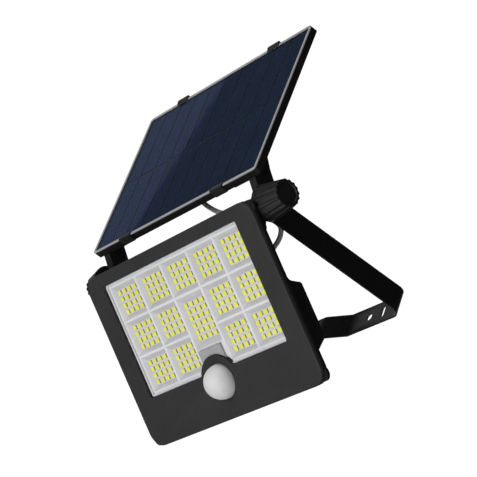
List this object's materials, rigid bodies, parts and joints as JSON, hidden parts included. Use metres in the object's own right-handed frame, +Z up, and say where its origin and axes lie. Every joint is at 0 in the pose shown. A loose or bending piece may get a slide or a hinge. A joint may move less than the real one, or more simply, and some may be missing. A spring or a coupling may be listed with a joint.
{
  "type": "solar flood light",
  "caption": "Wall-mounted lamp head with a gridded light window and sensor dome, tilting with a solar panel on one clamped pivot line.",
  "frame": {"origin": "middle of the wall strap's back face, between the two round holes", "axes": "+Y into the wall, +Z up, +X along the pivot line to the lamp's left as it looks out from the wall"},
  "size_m": [0.2156, 0.1375, 0.2235],
  "materials": {
    "bracket_paint": "satin black powder coat",
    "frame_plastic": "dark grey satin",
    "housing_plastic": "black fine texture",
    "lens": "clear",
    "reflector": "bright metallised",
    "baffle_plastic": "light grey",
    "board_white": "white solder mask",
    "board_green": "green solder mask",
    "phosphor": "yellow phosphor",
    "steel": "zinc plated",
    "black_screw": "blackened steel",
    "seal_rubber": "matt",
    "cell_wrap": "cells in a blue sleeve",
    "holder_plastic": "black",
    "contact_metal": "nickel plated",
    "component_plastic": "black",
    "lead_red": "red sleeve",
    "dome_plastic": "milky white",
    "can_metal": "plated can",
    "button_plastic": "dark grey",
    "gland_plastic": "black nylon",
    "rim_plastic": "grey edge",
    "panel_glass": "clear laminate",
    "silicon": "dark blue silicon",
    "back_film": "dark laminate film",
    "clip_plastic": "black",
    "leg_plastic": "black",
    "cable_sleeve": "dark grey sleeve",
    "knob_plastic": "black",
    "insert_brass": "turned"
  },
  "bodies": {
    "bracket": {"wall_bracket": "bracket_paint"},
    "head": {"front_frame": "frame_plastic", "window_lens": "lens", "reflector_grid": "reflector", "sensor_baffle": "baffle_plastic", "led_board": "board_white", "led_chips": "phosphor", "board_screws": "steel", "frame_gasket": "seal_rubber", "rear_housing": "housing_plastic", "housing_screws": "black_screw", "battery_cover": "housing_plastic", "cover_screws": "steel", "battery_cells": "cell_wrap", "battery_holder": "holder_plastic", "battery_contacts": "contact_metal", "control_board": "board_green", "board_components": "component_plastic", "control_screws": "steel", "led_leads": "lead_red", "panel_leads": "lead_red", "sensor_dome": "dome_plastic", "sensor_can": "can_metal", "sensor_board": "board_green", "button_seal": "seal_rubber", "switch_board": "board_green", "mode_switch": "component_plastic", "head_gland": "gland_plastic", "panel_cable": "cable_sleeve"},
    "button": {"mode_button": "button_plastic"},
    "panel": {"panel_tray": "housing_plastic", "panel_rim": "rim_plastic", "solar_glass": "panel_glass", "solar_cells": "silicon", "back_sheet": "back_film", "panel_clips": "clip_plastic", "junction_box": "housing_plastic", "junction_lid": "housing_plastic", "junction_screws": "steel", "panel_gland": "gland_plastic", "left_leg": "leg_plastic", "right_leg": "leg_plastic", "leg_screws": "steel", "pivot_bolts": "steel", "pivot_washers": "steel"},
    "left_knob": {"left_knob": "knob_plastic", "left_insert": "insert_brass"},
    "right_knob": {"right_knob": "knob_plastic", "right_insert": "insert_brass"}
  },
  "joints": [
    {"name": "head_tilt", "type": "hinge", "parent": "bracket", "child": "head", "pos_m": [0, -0.118, 0], "axis": [1, 0, 0], "range_deg": [-31, 36]},
    {"name": "panel_tilt", "type": "hinge", "parent": "head", "child": "panel", "pos_m": [0, -0.118, 0], "axis": [1, 0, 0], "range_deg": [-31, 66], "deforming": ["panel_cable"]},
    {"name": "left_knob_turn", "type": "hinge", "parent": "bracket", "child": "left_knob", "pos_m": [-0.1, -0.118, 0], "axis": [-1, 0, 0], "continuous": true},
    {"name": "right_knob_turn", "type": "hinge", "parent": "bracket", "child": "right_knob", "pos_m": [0.1, -0.118, 0], "axis": [1, 0, 0], "continuous": true},
    {"name": "mode_press", "type": "slide", "parent": "head", "child": "button", "axis": [0, -0.6293, -0.7771], "range_m": [0, 0.0015], "stiffness_N_per_m": 300}
  ]
}
